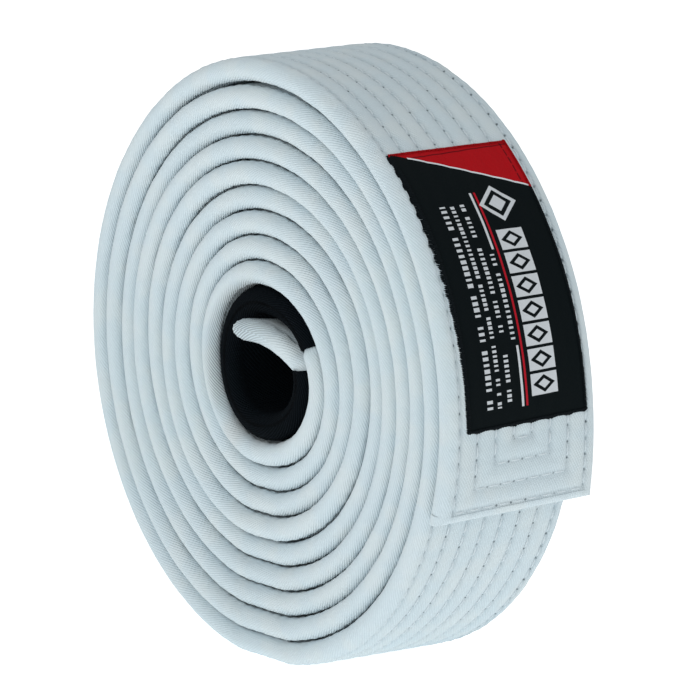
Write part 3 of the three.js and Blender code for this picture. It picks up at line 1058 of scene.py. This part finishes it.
def overcast():
    """Close slanting stitches of black thread that whip the label's edge to the cloth."""
    half = LABEL_WIDTH / 2
    pitch = 0.46
    on_cloth = 2.36
    random = np.random.default_rng(7)
    spots = []
    for across_from, along_from, across_to, along_to, out in (
        (-half, label_bottom, half, label_bottom, (0, -1)),
        (half, label_bottom, half, label_top, (1, 0)),
        (half, label_top, -half, label_top, (0, 1)),
        (-half, label_top, -half, label_bottom, (-1, 0)),
    ):
        length = abs(across_to - across_from) + abs(along_to - along_from)
        count = round(length / pitch)
        for i in range(count):
            part = (i + 0.5) / count
            spots.append((across_from + part * (across_to - across_from),
                          along_from + part * (along_to - along_from), out))
    shape = np.array([-1.0, -0.85, -0.4, 0.1, 0.55, 0.9, 1.0])
    radius = 0.24 * np.array([0.5, 0.9, 1, 1, 1, 0.9, 0.5])
    sides = 6
    angle = np.linspace(0, 2 * np.pi, sides, endpoint=False)
    quads = tube_faces(len(shape), sides)
    vertices, faces = [], []
    for across, along, out in spots:
        reach = 0.5 + 0.14 * random.random()
        slant = 0.28 + 0.12 * random.random()
        out = np.array(out, float)
        side = np.array([out[1], -out[0]])
        line = shape[:, None] * (out * reach + side * slant)
        line = line + np.array([across, along]) + out * 0.1 + side * 0.12 * (random.random() - 0.5)
        edge_out = line @ out - np.array([across, along]) @ out
        over_label = label_height(line[:, 1], line[:, 0]) + 0.06
        share_in = 1 - smooth_step(edge_out, -0.35, 0.45)
        height = on_cloth + (over_label - on_cloth) * share_in
        height = height - 0.35 * smooth_step(np.abs(shape), 0.8, 1.0)
        here = label_path(line[:, 1])
        centre = here.points(np.zeros((len(shape), 1)) + line[:, :1], height[:, None])[:, 0] * 1000
        up = np.stack([here.outward[:, 0], np.zeros(len(shape)), here.outward[:, 1]], -1)
        tangent = np.gradient(centre, axis=0)
        tangent /= np.linalg.norm(tangent, axis=1)[:, None]
        sideways = np.cross(tangent, up)
        sideways /= np.linalg.norm(sideways, axis=1)[:, None]
        lifted = np.cross(sideways, tangent)
        circle = np.cos(angle)[None, :, None] * sideways[:, None]
        circle = circle + np.sin(angle)[None, :, None] * lifted[:, None]
        body = centre[:, None] + circle * radius[:, None, None]
        start = len(vertices) * len(shape) * sides
        vertices.append(body.reshape(-1, 3))
        faces.extend((quads + start).tolist())
        faces.append([start + i for i in range(sides)])
        faces.append([start + len(shape) * sides - 1 - i for i in range(sides)])
    item = new_object("label_edge_thread", np.concatenate(vertices) / 1000, faces)
    corner_edge = [label_top - LABEL_CORNER * (spot[0] + half) / LABEL_WIDTH - 0.2 for spot in spots]
    red = [spot[1] > edge for spot, edge in zip(spots, corner_edge)]
    add_mark(item, "red", np.repeat(red, len(shape) * sides))
    smooth(item, 60)
    return item


whipping = overcast()
dress(whipping, edge_thread)
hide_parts("label_seam")
bend_with_end(whipping)


# ---- Floor, light and camera ----
bpy.ops.object.select_all(action="DESELECT")
bpy.ops.mesh.primitive_plane_add(size=14, location=(0, 0, -0.0002))
floor = bpy.context.object
floor.name = "floor"
floor_shader = Shader("pale_floor", Roughness=0.95)
floor_shader.colour(rgb(0.90, 0.905, 0.91))
floor_shader.surface.inputs["Emission Color"].default_value = rgb(1.0, 1.0, 1.0)
floor_shader.surface.inputs["Emission Strength"].default_value = 0.62
floor.data.materials.append(floor_shader.material)


def area_light(name, place, size, energy):
    """A round lamp that faces the middle of the roll, from a place given from there."""
    lamp = bpy.data.lights.new(name, "AREA")
    lamp.shape = "DISK"
    lamp.size = size
    lamp.energy = energy
    item = bpy.data.objects.new(name, lamp)
    item.location = middle + Vector(place)
    item.rotation_euler = (middle - item.location).to_track_quat("-Z", "Y").to_euler()
    bpy.context.scene.collection.objects.link(item)


middle = Vector((CENTRE[0] / 1000, 0, CENTRE[1] / 1000))
right = Vector((math.cos(AZIMUTH), math.sin(AZIMUTH), 0))
level = math.cos(ELEVATION)
towards_camera = Vector((math.sin(AZIMUTH) * level, -math.cos(AZIMUTH) * level, math.sin(ELEVATION)))
up = towards_camera.cross(right)
area_light("front", (0.15, -0.80, 0.30), 0.7, 2.1)
area_light("side", (0.75, 0.42, 0.40), 0.40, 0.7)
area_light("top", (-0.1, 0.2, 1.1), 0.9, 1.7)

world = bpy.data.worlds.new("studio")
world.use_nodes = True
sky = world.node_tree.nodes["Background"]
sky.inputs["Color"].default_value = rgb(0.97, 0.985, 1.0)
sky.inputs["Strength"].default_value = 0.53
bpy.context.scene.world = world

lens = bpy.data.cameras.new("camera")
lens.lens = LENS
lens.sensor_width = 36.0
lens.clip_start = 0.05
lens.clip_end = 50.0
camera = bpy.data.objects.new("camera", lens)
aim = middle + right * 0.0047 + up * 0.0023
camera.location = aim + towards_camera * DISTANCE
camera.rotation_euler = (-towards_camera).to_track_quat("-Z", "Y").to_euler()
bpy.context.scene.collection.objects.link(camera)
bpy.context.scene.camera = camera
bpy.context.scene.view_settings.view_transform = "Standard"
